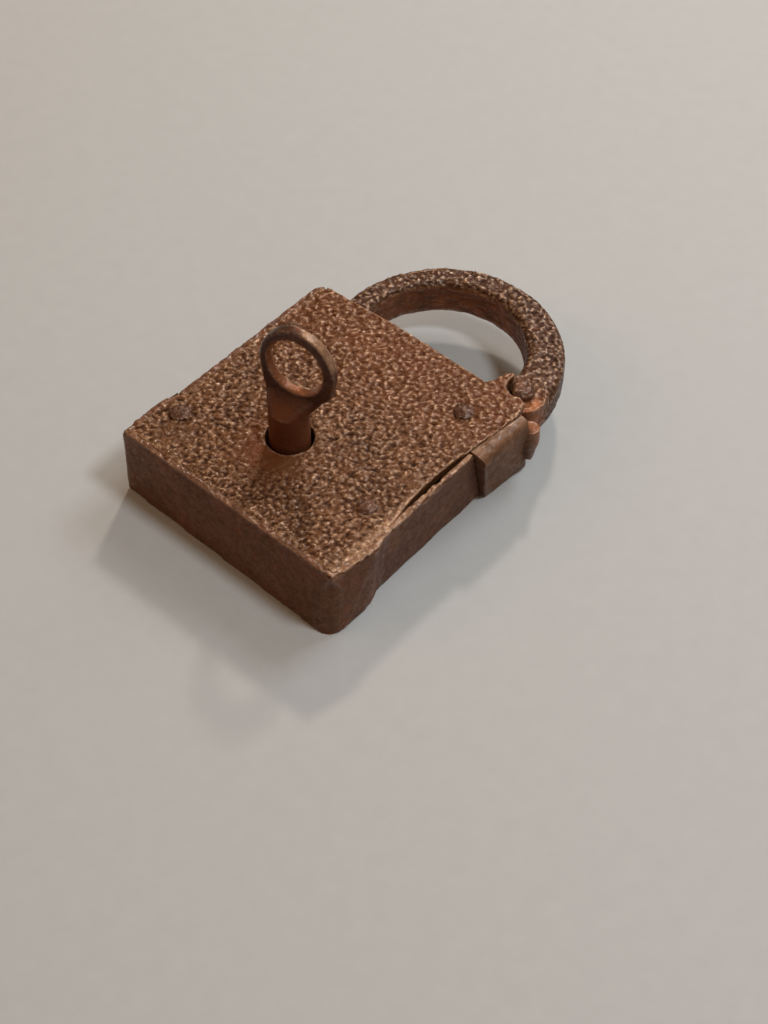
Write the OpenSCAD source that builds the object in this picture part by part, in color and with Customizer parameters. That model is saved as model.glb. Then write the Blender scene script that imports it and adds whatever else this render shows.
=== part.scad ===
// Old wrought-iron box padlock with a hinged shackle, lying on its back with its key in the lock.
// Origin: centre of the case's back face. +X is the lock's right, +Y points to the shackle and
// +Z comes out of the front. It is drawn unlocked: the bolt is drawn back, the shackle is shut.

/* [Case] */
// Length of the case from its bottom edge to its top edge
case_l = 82; // [82:1:84]
// Thickness of the case from back to front
case_t = 25; // [25:1:27]
// Thickness of the front and back plates
plate_t = 3; // [2.6:0.2:3]
// Thickness of the strap, the side walls and the top wall
rim_t = 2.2; // [2:0.1:2.4]
// Height of the bottom strap's two legs up the sides
strap_leg = 21; // [18:1:24]
// How far the right side leans in from the front to the back
lean = 2.4; // [1:0.2:2.4]

/* [Keyhole and key] */
// Radius of the round keyhole
keyhole_r = 7.05; // [6.8:0.05:7.2]
// Radius of the key's thick stem
stem_r = 5.85; // [5.6:0.05:6]
// Turn of the key's bow about the stem, from the lock's width
bow_turn = 15; // [0:5:30]
// Half width and half height of the bow's eye
eye_size = [8.5, 9.9]; // [7:0.1:11]
// Half width and half height of the bow
bow_size = [11.4, 13.9]; // [11:0.1:14]
// Thickness of the bow
bow_t = 2.8; // [2.4:0.1:3.6]
// Height of the middle of the eye above the back of the case
bow_z = 54.2; // [52:0.2:56]

/* [Shackle] */
// Outer radius of the shackle's round end
loop_r = 35.6; // [35:0.1:36]
// Radius of the shackle's inside
inner_r = 25.2; // [25:0.1:25.6]
// Height of the shackle's section, along the lock's thickness
shackle_h = 13; // [13:0.5:15]
// Radius of the flat eye that the shackle turns on
eye_r = 7.2; // [6.8:0.1:7.3]
// Radius of the pivot rivet's shank
pivot_r = 2.5; // [2:0.1:3]
// Width of the tongue that goes into the case
tongue_w = 6; // [5:0.5:6]

/* [Lock work] */
// Travel of the bolt between unlocked and locked
throw = 8; // [8:0.5:8]
// Distance of the cam's nib from the key's axis
nib_reach = 8; // [8:0.5:8]
// Thickness of the bolt's plate
bolt_t = 4; // [3:0.5:4]

/* [Hidden] */
$fn = 64;

e = 0.01;
gap = 0.3;
running = 0.07;
y_low = -case_l / 2;
y_top = case_l / 2;
front_z = case_t - plate_t;

// Edges of the case's outline, seen from the front
strap_left = -40.8;
strap_top = y_low + strap_leg;
overhang = 1.6;
left_out = -39.3;
cheek_low = 18.4;
cheek_back_low = 25.4;
cheek_out = 44;
cheek_top = 39.6;
cheek_in = 36.6;
cheek_chamfer = [1.8, 1.4];
corner_r = 3.5;

// The front plate's right edge, and its upper edge that stands out a little over the top wall
right_edge = [[38.2, -34], [38.6, strap_top], [38.5, -12], [37.4, -1], [37.2, 6], [37.4, 14],
              [37.8, 22], [39.4, 38], [38.6, y_top]];
right_edge_in = [0.25, 0.5, 1, 1, 1, 1, 1, 1, 1];
upper_edge_x = [22, -12, -27];

// The strap's base and right leg and the cheek block, at the front and at the back
strap_in_y = y_low + rim_t;
base_front = [[strap_left, y_low], [40, y_low], [40, strap_in_y], [strap_left, strap_in_y]];
base_back = [[strap_left, y_low], [37, y_low - 2], [39.6, y_low - 1.2], [40.8, strap_in_y],
             [strap_left, strap_in_y]];
leg_front = [[38, y_low], [40, y_low], [42.4, -25], [41.2, strap_top], [38.6, strap_top]];
leg_back = [[37, y_low], [40, y_low], [41.1, -37], [40.9, -29], [39.6, strap_top],
            [37.4, strap_top]];
strap_room_w = 76;
cheek_front = [[cheek_in, cheek_low], [cheek_out, cheek_low],
               [cheek_out, cheek_top - cheek_chamfer[1]],
               [cheek_out - cheek_chamfer[0], cheek_top], [cheek_in, cheek_top]];
cheek_back = [[35.5, cheek_back_low], [39.3, cheek_back_low], [40.6, 42.6], [39.8, 43.4],
              [35.5, 43.4]];

// The two plates' ears around the hinge
front_ear_edge = [[22, y_top - 1], [23.6, 42], [25.3, 45.2], [25.9, 48.2], [26.7, 49.9],
                  [28.4, 50.2], [31, 46], [37.6, 43.4], [38.6, y_top], [38.4, y_top - 1]];
back_ear_edge = [[24.5, y_top - 1], [36, y_top - 1], [37, 46], [29.4, 50], [25.6, 46]];
back_ear_r = 4.2;

key_at = [-3.7, -10.8];
pivot_at = [33.1, 48.2];
loop_at = [4.6, 47];
inner_at = [2, 48.3];
notch_at = [32.9, 48];
notch_r = 4.4;
nub_at = [42.3, 41];
nub_r = 2.9;
nub_z = [6.5, 14.5, 20];
nub_foot_r = 1;

rivet_at = [[-33.2, -25.1], [30, -15.8], [26.8, 29.2], [-32.8, 20.5]];
rivet_r = 2.2;
rivet_head_r = 3.6;
rivet_head_h = 1.1;
sleeve_r = 4;

shackle_z = front_z - 0.4 - shackle_h;
loop_end = y_top + 0.6;
tongue_r = 63.8;
tongue_turn = 17.5;
shoulder_r = 2;
belly_r = 4.5;
bore_r = pivot_r + running;
washer_r = 4.4;
eye_foot_r = 4.9;
eye_foot_h = 8;

post_r = 1.6;
post_head_r = 2.5;
post_top = 19;
cam_z = plate_t + gap;
cam_t = 3;
cam_r = 6.2;
spindle_w = 5.6;
spindle_top = 17.4;
nib_r = 1.7;
nib_turn = 30;
nib_top = 14.2;

key_z = 7;
socket_w = spindle_w + 2 * gap;
socket_top = 21;
stem_top = 37;
neck_h = 0.9;
bow_y = 0.45;
bow_x = 3.2;
eye_x = 2.8;
eye_z = bow_z + 0.5;
// A fuller lower right on the bow: centre and radius
bow_swell = [8.7, 49.1];
bow_swell_r = 5.2;
// The bow's shoulders, where its thin plate runs down into the stem
shoulders = [[-7.5, 49.5], [-5.8, 36.5], [5.8, 36], [8.4, 40.2], [10.4, 43.1], [8, 46]];
// Middles of the round ends that the stem is flattened into, across the bow
neck_ends = [[-4.9, 42.4], [2, 41.9], [7, 42.4]];
neck_end_r = 1.6;

bolt_z = 10.5;
bolt_x = [-8, 27];
bolt_y = [-4.4, 5];
arm_x = [-6, 1];
nose_x = -21.6;
nose_y = [32.4, 37.2];
nose_h = 8;
talon_at = key_at[0] + nib_reach * sin(nib_turn);
talon_w = 2 * nib_r + 0.8;
talon_top = -0.4;
stump_at = [14, 0.6];
stump_r = 1.5;
stump_foot_r = 3.2;
slot_w = 2 * (stump_r + gap);
staple_x = [-19, -15];
staple_y = [29.8, y_top - rim_t - 0.3];
staple_top = 20.8;
spring_r = 14;
spring_t = 0.7;
spring_h = 3.4;
spring_x = 15;
spring_pin_r = 1.3;
tongue_slot_x = [-31, -23.6];
top_wall_end = 25.4;

iron = "#6b4a3a";
dark_iron = "#4a3226";
rust = "#a8653d";

// Outline of a case plate inside the rim. The back plate's right edge is drawn in by the lean;
// the front plate's top edge stands out a little over the top wall.
module plate_outline(in = 0, out = 0) {
    left_low = strap_left + rim_t;
    left_up = left_out + rim_t;
    foot = [right_edge[0][0] - right_edge_in[0] * in, strap_in_y];
    right = [for (i = [0:len(right_edge) - 1]) right_edge[i] - [right_edge_in[i] * in, 0]];
    upper = [[upper_edge_x[0], y_top + out], [upper_edge_x[1], y_top + out],
             [upper_edge_x[2], y_top + out / 4]];
    left = [[left_up, y_top], [left_up, strap_top], [left_low, strap_top], [left_low, strap_in_y]];
    difference() {
        polygon(concat([foot], right, upper, left));
        translate([left_up, y_top]) corner_cut(corner_r - 1);
    }
}

// The sharp corner that a rounding of radius r takes away, at a top left corner
module corner_cut(r) {
    difference() {
        translate([-e, -r]) square([r, r + e]);
        translate([r, -r]) circle(r);
    }
}

// Ear of the front plate, hollowed around the head of the pivot rivet
module front_ear() {
    difference() {
        polygon(front_ear_edge);
        translate(notch_at) circle(notch_r);
    }
}

// Ear of the back plate under the shackle's eye
module back_ear() {
    translate(pivot_at) circle(back_ear_r);
    polygon(back_ear_edge);
}

// A straight bar of the rim between two heights, each with its own outline
module leaning(front, back) {
    hull() {
        translate([0, 0, case_t - e]) linear_extrude(e) polygon(front);
        linear_extrude(e) polygon(back);
    }
}

// The room that the two plates take up inside the rim
module plate_room() {
    translate([0, 0, front_z]) linear_extrude(plate_t + e) plate_outline();
    translate([0, 0, -e]) linear_extrude(plate_t + e) plate_outline(lean);
}

module at_rivets() {
    for (p = rivet_at) translate(p) children();
}

module back_plate() {
    color(iron) difference() {
        union() {
            linear_extrude(plate_t) plate_outline(lean);
            linear_extrude(plate_t) back_ear();
        }
        at_rivets() translate([0, 0, -e]) cylinder(r = rivet_r + running, h = plate_t + 2 * e);
        for (hole = [[key_at, post_r], [stump_at, stump_r], [pivot_at, pivot_r]])
            translate(hole[0]) translate([0, 0, -e])
                cylinder(r = hole[1] + running, h = plate_t + 2 * e);
    }
}

module front_plate() {
    color(iron) difference() {
        translate([0, 0, front_z]) {
            linear_extrude(plate_t) plate_outline(0, overhang);
            linear_extrude(plate_t) front_ear();
        }
        at_rivets() translate([0, 0, front_z - e]) cylinder(r = rivet_r + running, h = plate_t + 2 * e);
        translate(key_at) translate([0, 0, front_z - e]) cylinder(r = keyhole_r, h = plate_t + 2 * e);
    }
}

// Strap around the bottom edge; it swells out towards the back at the lower right corner.
module bottom_strap() {
    color(dark_iron) difference() {
        union() {
            translate([strap_left, y_low, 0]) cube([rim_t, strap_leg, case_t]);
            leaning(base_front, base_back);
            leaning(leg_front, leg_back);
        }
        plate_room();
        translate([strap_left + rim_t, strap_in_y, plate_t + e])
            cube([strap_room_w, strap_leg, front_z - plate_t - 2 * e]);
    }
}

module left_wall() {
    color(dark_iron) linear_extrude(case_t) difference() {
        translate([left_out, strap_top]) square([corner_r + rim_t, y_top - strap_top]);
        translate([left_out, y_top]) corner_cut(corner_r);
        translate([left_out + rim_t, strap_top - e]) square([corner_r + e, y_top - strap_top - corner_r]);
        plate_outline();
        translate([left_out + rim_t, y_top - corner_r - e]) square([corner_r + e, corner_r + 2 * e]);
    }
}

module right_wall() {
    outer = [40.9, 39.8];
    inner = [38.6, 38];
    front = [[inner[0], strap_top], [outer[0], strap_top], [outer[1], cheek_low], [inner[1], cheek_low]];
    back = [[inner[0] - lean, strap_top], [outer[0] - lean, strap_top],
            [outer[1] - lean, cheek_back_low], [inner[1] - lean, cheek_back_low]];
    color(dark_iron) difference() {
        leaning(front, back);
        plate_room();
    }
}

module top_wall() {
    wall_h = front_z - plate_t;
    color(dark_iron) difference() {
        translate([left_out + corner_r, y_top - rim_t, plate_t])
            cube([top_wall_end - left_out - corner_r, rim_t, wall_h]);
        translate([tongue_slot_x[0], y_top - rim_t - e, shackle_z - gap])
            cube([tongue_slot_x[1] - tongue_slot_x[0], rim_t + 2 * e, case_t]);
    }
}

// Thick block beside the hinge, leaning to the shackle towards the back; its nub is the stop
// for the opened shackle.
module cheek_block() {
    color(dark_iron) {
        difference() {
            leaning(cheek_front, cheek_back);
            plate_room();
            translate([0, 0, -e]) linear_extrude(plate_t + e) back_ear();
            translate(pivot_at) translate([0, 0, shackle_z - gap])
                cylinder(r = eye_r + gap, h = shackle_h + gap);
        }
        translate([nub_at[0], nub_at[1], nub_z[0]])
            cylinder(r1 = nub_foot_r, r2 = nub_r, h = nub_z[1] - nub_z[0]);
        translate([nub_at[0], nub_at[1], nub_z[1]]) cylinder(r = nub_r, h = nub_z[2] - nub_z[1]);
    }
}

// The four rivets that hold the plates, with low domed heads at the front and flush at the back
module case_rivets() {
    dome_r = (rivet_head_r * rivet_head_r + rivet_head_h * rivet_head_h) / (2 * rivet_head_h);
    color(iron) at_rivets() {
        cylinder(r = rivet_r, h = case_t + e);
        translate([0, 0, case_t]) intersection() {
            cylinder(r = rivet_head_r, h = rivet_head_h + e);
            translate([0, 0, rivet_head_h - dome_r]) sphere(dome_r);
        }
    }
}

module rivet_sleeves() {
    color(dark_iron) at_rivets() translate([0, 0, plate_t])
        pipe(sleeve_r, rivet_r + running, front_z - plate_t);
}

module pipe(outer, bore, h) {
    difference() {
        cylinder(r = outer, h = h);
        translate([0, 0, -e]) cylinder(r = bore, h = h + 2 * e);
    }
}

// Collar behind the keyhole that keeps the key upright
module keyhole_guide() {
    guide_z = bolt_z + bolt_t + 0.7;
    color(iron) translate([key_at[0], key_at[1], guide_z])
        pipe(keyhole_r + 2.3, keyhole_r, front_z - guide_z);
}

module cam_post() {
    color(dark_iron) translate(key_at) {
        cylinder(r = post_r, h = post_top);
        translate([0, 0, spindle_top + 0.1]) cylinder(r = post_head_r, h = post_top - spindle_top - 0.1);
    }
}

// Cam that the key turns: a square spindle for the key's socket and a nib that drives the bolt
module cam() {
    color(iron) translate(key_at) difference() {
        union() {
            translate([0, 0, cam_z]) {
                cylinder(r = cam_r, h = cam_t);
                rotate(-nib_turn) {
                    translate([-nib_r - 1, 0, 0]) cube([2 * nib_r + 2, nib_reach, cam_t]);
                    translate([0, nib_reach, 0]) cylinder(r = nib_r + 1, h = cam_t);
                }
            }
            rotate(-nib_turn) translate([0, nib_reach, cam_z]) cylinder(r = nib_r, h = nib_top - cam_z);
            rotate(bow_turn) translate([-spindle_w / 2, -spindle_w / 2, cam_z])
                cube([spindle_w, spindle_w, spindle_top - cam_z]);
        }
        cylinder(r = post_r + running, h = case_t);
    }
}

module bolt() {
    slot = [stump_at[0] - slot_w / 2, stump_at[0] + throw + slot_w / 2];
    color(iron) difference() {
        translate([0, 0, bolt_z]) {
            translate([bolt_x[0], bolt_y[0], 0])
                cube([bolt_x[1] - bolt_x[0], bolt_y[1] - bolt_y[0], bolt_t]);
            translate([arm_x[0], bolt_y[0], 0])
                cube([arm_x[1] - arm_x[0], nose_y[1] - bolt_y[0], bolt_t]);
            translate([nose_x, nose_y[0], 0])
                cube([arm_x[1] - nose_x, nose_y[1] - nose_y[0], nose_h]);
        }
        translate([talon_at - talon_w / 2, bolt_y[0] - 1, bolt_z - 1])
            cube([talon_w, talon_top - bolt_y[0] + 1, bolt_t + 2]);
        translate([0, 0, bolt_z - 1]) linear_extrude(bolt_t + 2) {
            for (x = [slot[0] + slot_w / 2, slot[1] - slot_w / 2])
                translate([x, stump_at[1]]) circle(slot_w / 2);
            translate([slot[0] + slot_w / 2, stump_at[1] - slot_w / 2])
                square([slot[1] - slot[0] - slot_w, slot_w]);
        }
    }
}

// Stepped post that carries the bolt's tail and runs in its slot
module bolt_stump() {
    head_z = bolt_z + bolt_t + gap;
    color(dark_iron) translate(stump_at) {
        cylinder(r = stump_r, h = head_z + 1.6);
        translate([0, 0, plate_t]) cylinder(r = stump_foot_r, h = bolt_z - gap - plate_t);
        translate([0, 0, head_z]) cylinder(r = stump_foot_r - 0.4, h = 1.6);
    }
}

// Portal that the bolt's nose slides through
module nose_staple() {
    color(dark_iron) difference() {
        translate([staple_x[0], staple_y[0], plate_t])
            cube([staple_x[1] - staple_x[0], staple_y[1] - staple_y[0], staple_top - plate_t]);
        translate([staple_x[0] - e, nose_y[0] - gap, bolt_z - gap])
            cube([staple_x[1] - staple_x[0] + 2 * e, nose_y[1] - nose_y[0] + 2 * gap, nose_h + 2 * gap]);
    }
}

// Bowed leaf spring that rubs on the bolt's back edge, rolled around its pin at one end
module bolt_spring() {
    spring_z = bolt_z + (bolt_t - spring_h) / 2;
    turns = [-135:7.5:-45];
    leaf = [for (r = [spring_r, spring_r - spring_t]) [for (a = turns) r * [cos(a), sin(a)]]];
    last = len(leaf[1]) - 1;
    color(dark_iron) translate([0, 0, spring_z]) difference() {
        union() {
            translate([spring_x, bolt_y[1] + 0.1 + spring_r, 0]) linear_extrude(spring_h)
                polygon(concat(leaf[0], [for (i = [last:-1:0]) leaf[1][i]]));
            translate(spring_pin_at()) cylinder(r = spring_pin_r + running + spring_t, h = spring_h);
        }
        translate(spring_pin_at()) translate([0, 0, -e])
            cylinder(r = spring_pin_r + running, h = spring_h + 2 * e);
    }
}

function spring_pin_at() =
    [spring_x, bolt_y[1] + 0.1 + spring_r] +
    (spring_r - spring_t / 2) * [cos(-45), sin(-45)] +
    (spring_pin_r + running + spring_t / 2) * [cos(45), sin(45)];

module spring_pin() {
    color(dark_iron) translate(spring_pin_at()) translate([0, 0, plate_t])
        cylinder(r = spring_pin_r, h = bolt_z + bolt_t + 1 - plate_t);
}

// Section of the loop: square inside, with a small radius above and a full belly below outside
module loop_section() {
    low = loop_r - belly_r;
    top = loop_r - shoulder_r;
    straight = shackle_h - belly_r - shoulder_r;
    translate([inner_r - 10, 0]) square([low - inner_r + 10, shackle_h]);
    translate([low, belly_r]) square([belly_r, straight]);
    translate([low, shackle_h - shoulder_r]) square([top - low, shoulder_r]);
    translate([low, belly_r]) circle(belly_r);
    translate([top, shackle_h - shoulder_r]) circle(shoulder_r);
}

module shackle() {
    slack = 0.4;
    color(iron) difference() {
        translate([0, 0, shackle_z]) {
            difference() {
                union() {
                    translate(loop_at) rotate_extrude(angle = 180, $fn = 180) loop_section();
                    translate(loop_at) rotate([90, 0, 0]) linear_extrude(loop_at[1] - loop_end)
                        mirror([1, 0]) loop_section();
                }
                translate([inner_at[0], inner_at[1], -e])
                    cylinder(r = inner_r, h = shackle_h + 2 * e, $fn = 180);
            }
            translate(pivot_at) cylinder(r1 = eye_foot_r, r2 = eye_r, h = eye_foot_h);
            translate(pivot_at) translate([0, 0, eye_foot_h])
                cylinder(r = eye_r, h = shackle_h - eye_foot_h);
            translate(pivot_at) rotate(180) rotate_extrude(angle = tongue_turn, $fn = 180)
                translate([tongue_r - tongue_w, 0]) square([tongue_w, shackle_h]);
        }
        translate(pivot_at) cylinder(r = bore_r, h = case_t);
        translate([tongue_slot_x[0] - 2, nose_y[0] - slack, bolt_z - 0.5])
            cube([12, nose_y[1] - nose_y[0] + 2 * slack, nose_h + 1]);
    }
}

// Rivet that the shackle turns on, headed in the hollow of the front plate
module pivot_rivet() {
    head_z = shackle_z + shackle_h + 0.1;
    head_h = case_t - 0.2 - head_z;
    color(rust) translate(pivot_at) {
        cylinder(r = pivot_r, h = head_z + e);
        translate([0, 0, head_z]) cylinder(r = rivet_head_r, h = head_h - 1);
        translate([0, 0, head_z + head_h - 1]) cylinder(r1 = rivet_head_r, r2 = rivet_head_r - 1.2, h = 1);
    }
}

module pivot_washer() {
    color(dark_iron) translate(pivot_at) translate([0, 0, plate_t])
        pipe(washer_r, pivot_r + running, shackle_z - 0.2 - plate_t);
}

// Outline of an oval of half width w and half height h
function oval(w, h, sides) = [for (i = [0:sides - 1]) [w * cos(360 * i / sides), h * sin(360 * i / sides)]];

// An upright oval plate in the plane of the bow
module bow_disc(w, h, t, sides = 72) {
    rotate([90, 0, 0]) translate([0, 0, -t / 2]) linear_extrude(t) polygon(oval(w, h, sides));
}

module key() {
    color(dark_iron) translate(key_at) difference() {
        rotate(bow_turn) {
            translate([0, 0, key_z]) cylinder(r = stem_r, h = stem_top - key_z);
            translate([bow_x, bow_y, bow_z]) bow_disc(bow_size[0], bow_size[1], bow_t);
            translate([bow_swell[0], bow_y, bow_swell[1]])
                bow_disc(bow_swell_r, bow_swell_r, bow_t, 48);
            translate([0, bow_y, 0]) rotate([90, 0, 0]) translate([0, 0, -bow_t / 2])
                linear_extrude(bow_t) polygon(shoulders);
            hull() {
                translate([0, 0, stem_top - neck_h]) cylinder(r = stem_r - 0.1, h = neck_h, $fn = 32);
                for (end = neck_ends)
                    translate([end[0], bow_y, end[1]])
                        bow_disc(neck_end_r, neck_end_r, bow_t - 0.2, 16);
            }
        }
        rotate(bow_turn) {
            translate([eye_x, bow_y, eye_z]) bow_disc(eye_size[0], eye_size[1], 3 * stem_r);
            translate([-socket_w / 2, -socket_w / 2, key_z - 1])
                cube([socket_w, socket_w, socket_top - key_z + 1]);
        }
    }
}

back_plate();
front_plate();
bottom_strap();
left_wall();
right_wall();
top_wall();
cheek_block();
case_rivets();
rivet_sleeves();
keyhole_guide();
cam_post();
cam();
bolt();
bolt_stump();
nose_staple();
bolt_spring();
spring_pin();
shackle();
pivot_rivet();
pivot_washer();
key();
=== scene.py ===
"""Looks of an old wrought-iron box padlock with its key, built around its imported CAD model.

Each visible piece starts from its CAD node's own mesh, remeshed finely. Its points are then moved,
to round, hammer, wear and pit it. Points are in millimetres: X to the right, Y to the shackle and
Z out of the front. A band is a pair of values: ramp is 0 at the first and 1 at the second.
"""

from collections import namedtuple

import bmesh
import bpy
import numpy as np
from mathutils import Euler, Matrix, Vector


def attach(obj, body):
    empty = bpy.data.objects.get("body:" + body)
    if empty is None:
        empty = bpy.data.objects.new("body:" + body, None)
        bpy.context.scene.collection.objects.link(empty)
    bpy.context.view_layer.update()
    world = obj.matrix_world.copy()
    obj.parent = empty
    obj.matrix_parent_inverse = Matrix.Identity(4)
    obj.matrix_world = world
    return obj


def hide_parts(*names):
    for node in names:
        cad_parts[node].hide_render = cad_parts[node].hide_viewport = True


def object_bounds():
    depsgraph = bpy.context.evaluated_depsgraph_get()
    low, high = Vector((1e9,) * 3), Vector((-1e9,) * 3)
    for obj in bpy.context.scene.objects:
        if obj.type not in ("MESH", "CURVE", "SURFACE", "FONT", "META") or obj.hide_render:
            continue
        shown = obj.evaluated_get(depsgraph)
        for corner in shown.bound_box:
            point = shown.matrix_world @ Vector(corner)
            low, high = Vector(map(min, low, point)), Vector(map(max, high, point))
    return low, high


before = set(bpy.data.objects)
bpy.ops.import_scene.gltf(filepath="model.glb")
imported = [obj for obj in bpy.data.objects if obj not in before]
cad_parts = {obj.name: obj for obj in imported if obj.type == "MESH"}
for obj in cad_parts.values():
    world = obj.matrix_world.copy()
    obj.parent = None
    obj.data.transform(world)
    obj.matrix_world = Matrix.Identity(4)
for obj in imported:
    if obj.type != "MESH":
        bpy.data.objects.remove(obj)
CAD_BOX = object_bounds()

MM = 0.001
TINY = 1e-6

# ---------------------------------------------------------------- the lock's places and sizes
FRONT = 25.0
RIVETS = ((-33.2, -25.1), (30.0, -15.8), (26.8, 29.2), (-32.8, 20.5))
PIVOT_AT = (33.1, 48.2)
HUB_R = 8.0
# The shackle: the middle and radius of its outer and inner walls, and the heights of its faces
LOOP_AT = (4.6, 47.0)
LOOP_R = 35.6
INNER_AT = (2.0, 48.3)
INNER_R = 25.2
HOOP_LOW = 8.6
HOOP_TOP = 21.6
# The key: its axis, the way its bow points, and the middles and half sizes of the bow and its eye
KEY_AT = (-3.7, -10.8)
BOW_ALONG = (0.9659, 0.2588)
BOW_AT = (3.2, 54.2)
BOW_SIZE = (11.4, 13.9)
EYE_AT = (2.8, 54.7)
EYE_SIZE = (8.5, 9.9)

# ---------------------------------------------------------------- noise over points
# The noise's own grid is turned, so that its rows don't run along the lock's faces
TURN = np.array(Euler((0.6, 0.8, 0.3)).to_matrix())
HASH_X = 73856093
HASH_Y = 19349663
HASH_Z = 83492791
HASH_SEED = 40503
HASH_STEPS = ((16, 0x85EBCA6B), (13, 0xC2B2AE35), (16, 1))
WORD = 0xFFFFFFFF
NOISE_SHIFT = 37.3
NOISE_GAIN = 1.7
PEBBLE_SHIFT = 51.7
PEBBLE_FALL = 1.3
FAR = 9.0


def hashed(i, j, k, seed):
    """Even pseudo-random numbers from 0 to 1 for whole-number grid points."""
    n = i.astype(np.int64) * HASH_X
    n ^= j.astype(np.int64) * HASH_Y
    n ^= k.astype(np.int64) * HASH_Z
    n ^= seed * HASH_SEED
    n = (n & WORD).astype(np.uint64)
    for shift, factor in HASH_STEPS:
        n ^= n >> np.uint64(shift)
        n = (n * np.uint64(factor)) & np.uint64(WORD)
    return n / (WORD + 1.0)


def smooth_noise(p, size, seed):
    """Gradient noise from about -1 to 1 with lumps about size mm across."""
    q = p @ TURN / size + NOISE_SHIFT
    cell = np.floor(q)
    t = q - cell
    ease = t * t * t * (t * (t * 6 - 15) + 10)
    out = np.zeros(len(p))
    for corner in range(8):
        step = (corner & 1, corner >> 1 & 1, corner >> 2)
        x, y, z = (cell + step).T
        slope = sum((hashed(x, y, z, seed * 3 + a) * 2 - 1) * (t[:, a] - step[a]) for a in range(3))
        weight = np.prod([ease[:, a] if step[a] else 1 - ease[:, a] for a in range(3)], axis=0)
        out += weight * slope
    return out * NOISE_GAIN


def pebbles(p, size, seed):
    """Domes side by side with creases between them, from 0 in a crease to 1 on a dome."""
    q = p @ TURN / size + PEBBLE_SHIFT
    cell = np.floor(q)
    nearest = np.full(len(p), FAR)
    for n in range(27):
        at = cell + (n % 3 - 1, n // 3 % 3 - 1, n // 9 - 1)
        x, y, z = at.T
        gap = sum((at[:, a] + hashed(x, y, z, seed + a) - q[:, a]) ** 2 for a in range(3))
        nearest = np.minimum(nearest, gap)
    return 1 - np.clip(nearest * PEBBLE_FALL, 0, 1)


def layered(p, size, seed, octaves=3):
    """Noise in octaves, each half as large and half as strong as the one before."""
    total = sum(smooth_noise(p, size / 2**o, seed + o) / 2**o for o in range(octaves))
    return total / (2 - 2 ** (1 - octaves))


def uneven(p, level, swing, size, seed):
    """A level with noise on it: swing strong, in lumps about size mm across."""
    return level + swing * layered(p, size, seed)


def warped(p, size, amount, seed):
    """Points pushed about by noise, so that what is drawn from them gets irregular."""
    return p + amount * np.column_stack([layered(p, size, seed + n) for n in range(3)])


# ---------------------------------------------------------------- where on the lock
def ramp(x, low, high):
    """0 at low, 1 at high, smooth between and flat beyond; high may be the smaller."""
    t = np.clip((x - low) / (high - low), 0, 1)
    return t * t * (3 - 2 * t)


def near_front(z, deep, shallow):
    """0 from deep mm behind the case's front inwards, 1 from shallow mm behind it outwards."""
    return ramp(z, FRONT - deep, FRONT - shallow)


def away(p, centre):
    """Distance in plan from (x, y)."""
    return np.hypot(p[:, 0] - centre[0], p[:, 1] - centre[1])


def spot(p, centre, radius):
    """1 at a plan position (x, y), falling to 0 at about twice the radius."""
    d = (p[:, 0] - centre[0]) ** 2 + (p[:, 1] - centre[1]) ** 2
    return np.exp(-d / radius**2)


def spots(p, places):
    """The sum of several spots, each with its centre, radius and strength."""
    return sum(strength * spot(p, centre, radius) for centre, radius, strength in places)


def round_off(u, v, r):
    """Rounds the corner between two faces: u and v are the depths of each point behind them."""
    du = r - u
    dv = r - v
    length = np.maximum(np.hypot(du, dv), TINY)
    cut = (du > 0) & (dv > 0) & (length > r)
    scale = np.where(cut, r / length, 1)
    return np.where(cut, r - du * scale, u), np.where(cut, r - dv * scale, v)


# ---------------------------------------------------------------- the materials' nodes
SPECULAR = 0.15
COAT_ROUGH = 0.19

# A noise texture: size in mm, detail, roughness, distortion, and what it adds to a material's seed
Texture = namedtuple("Texture", "size detail rough warp step", defaults=(0.0, 0))


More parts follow.
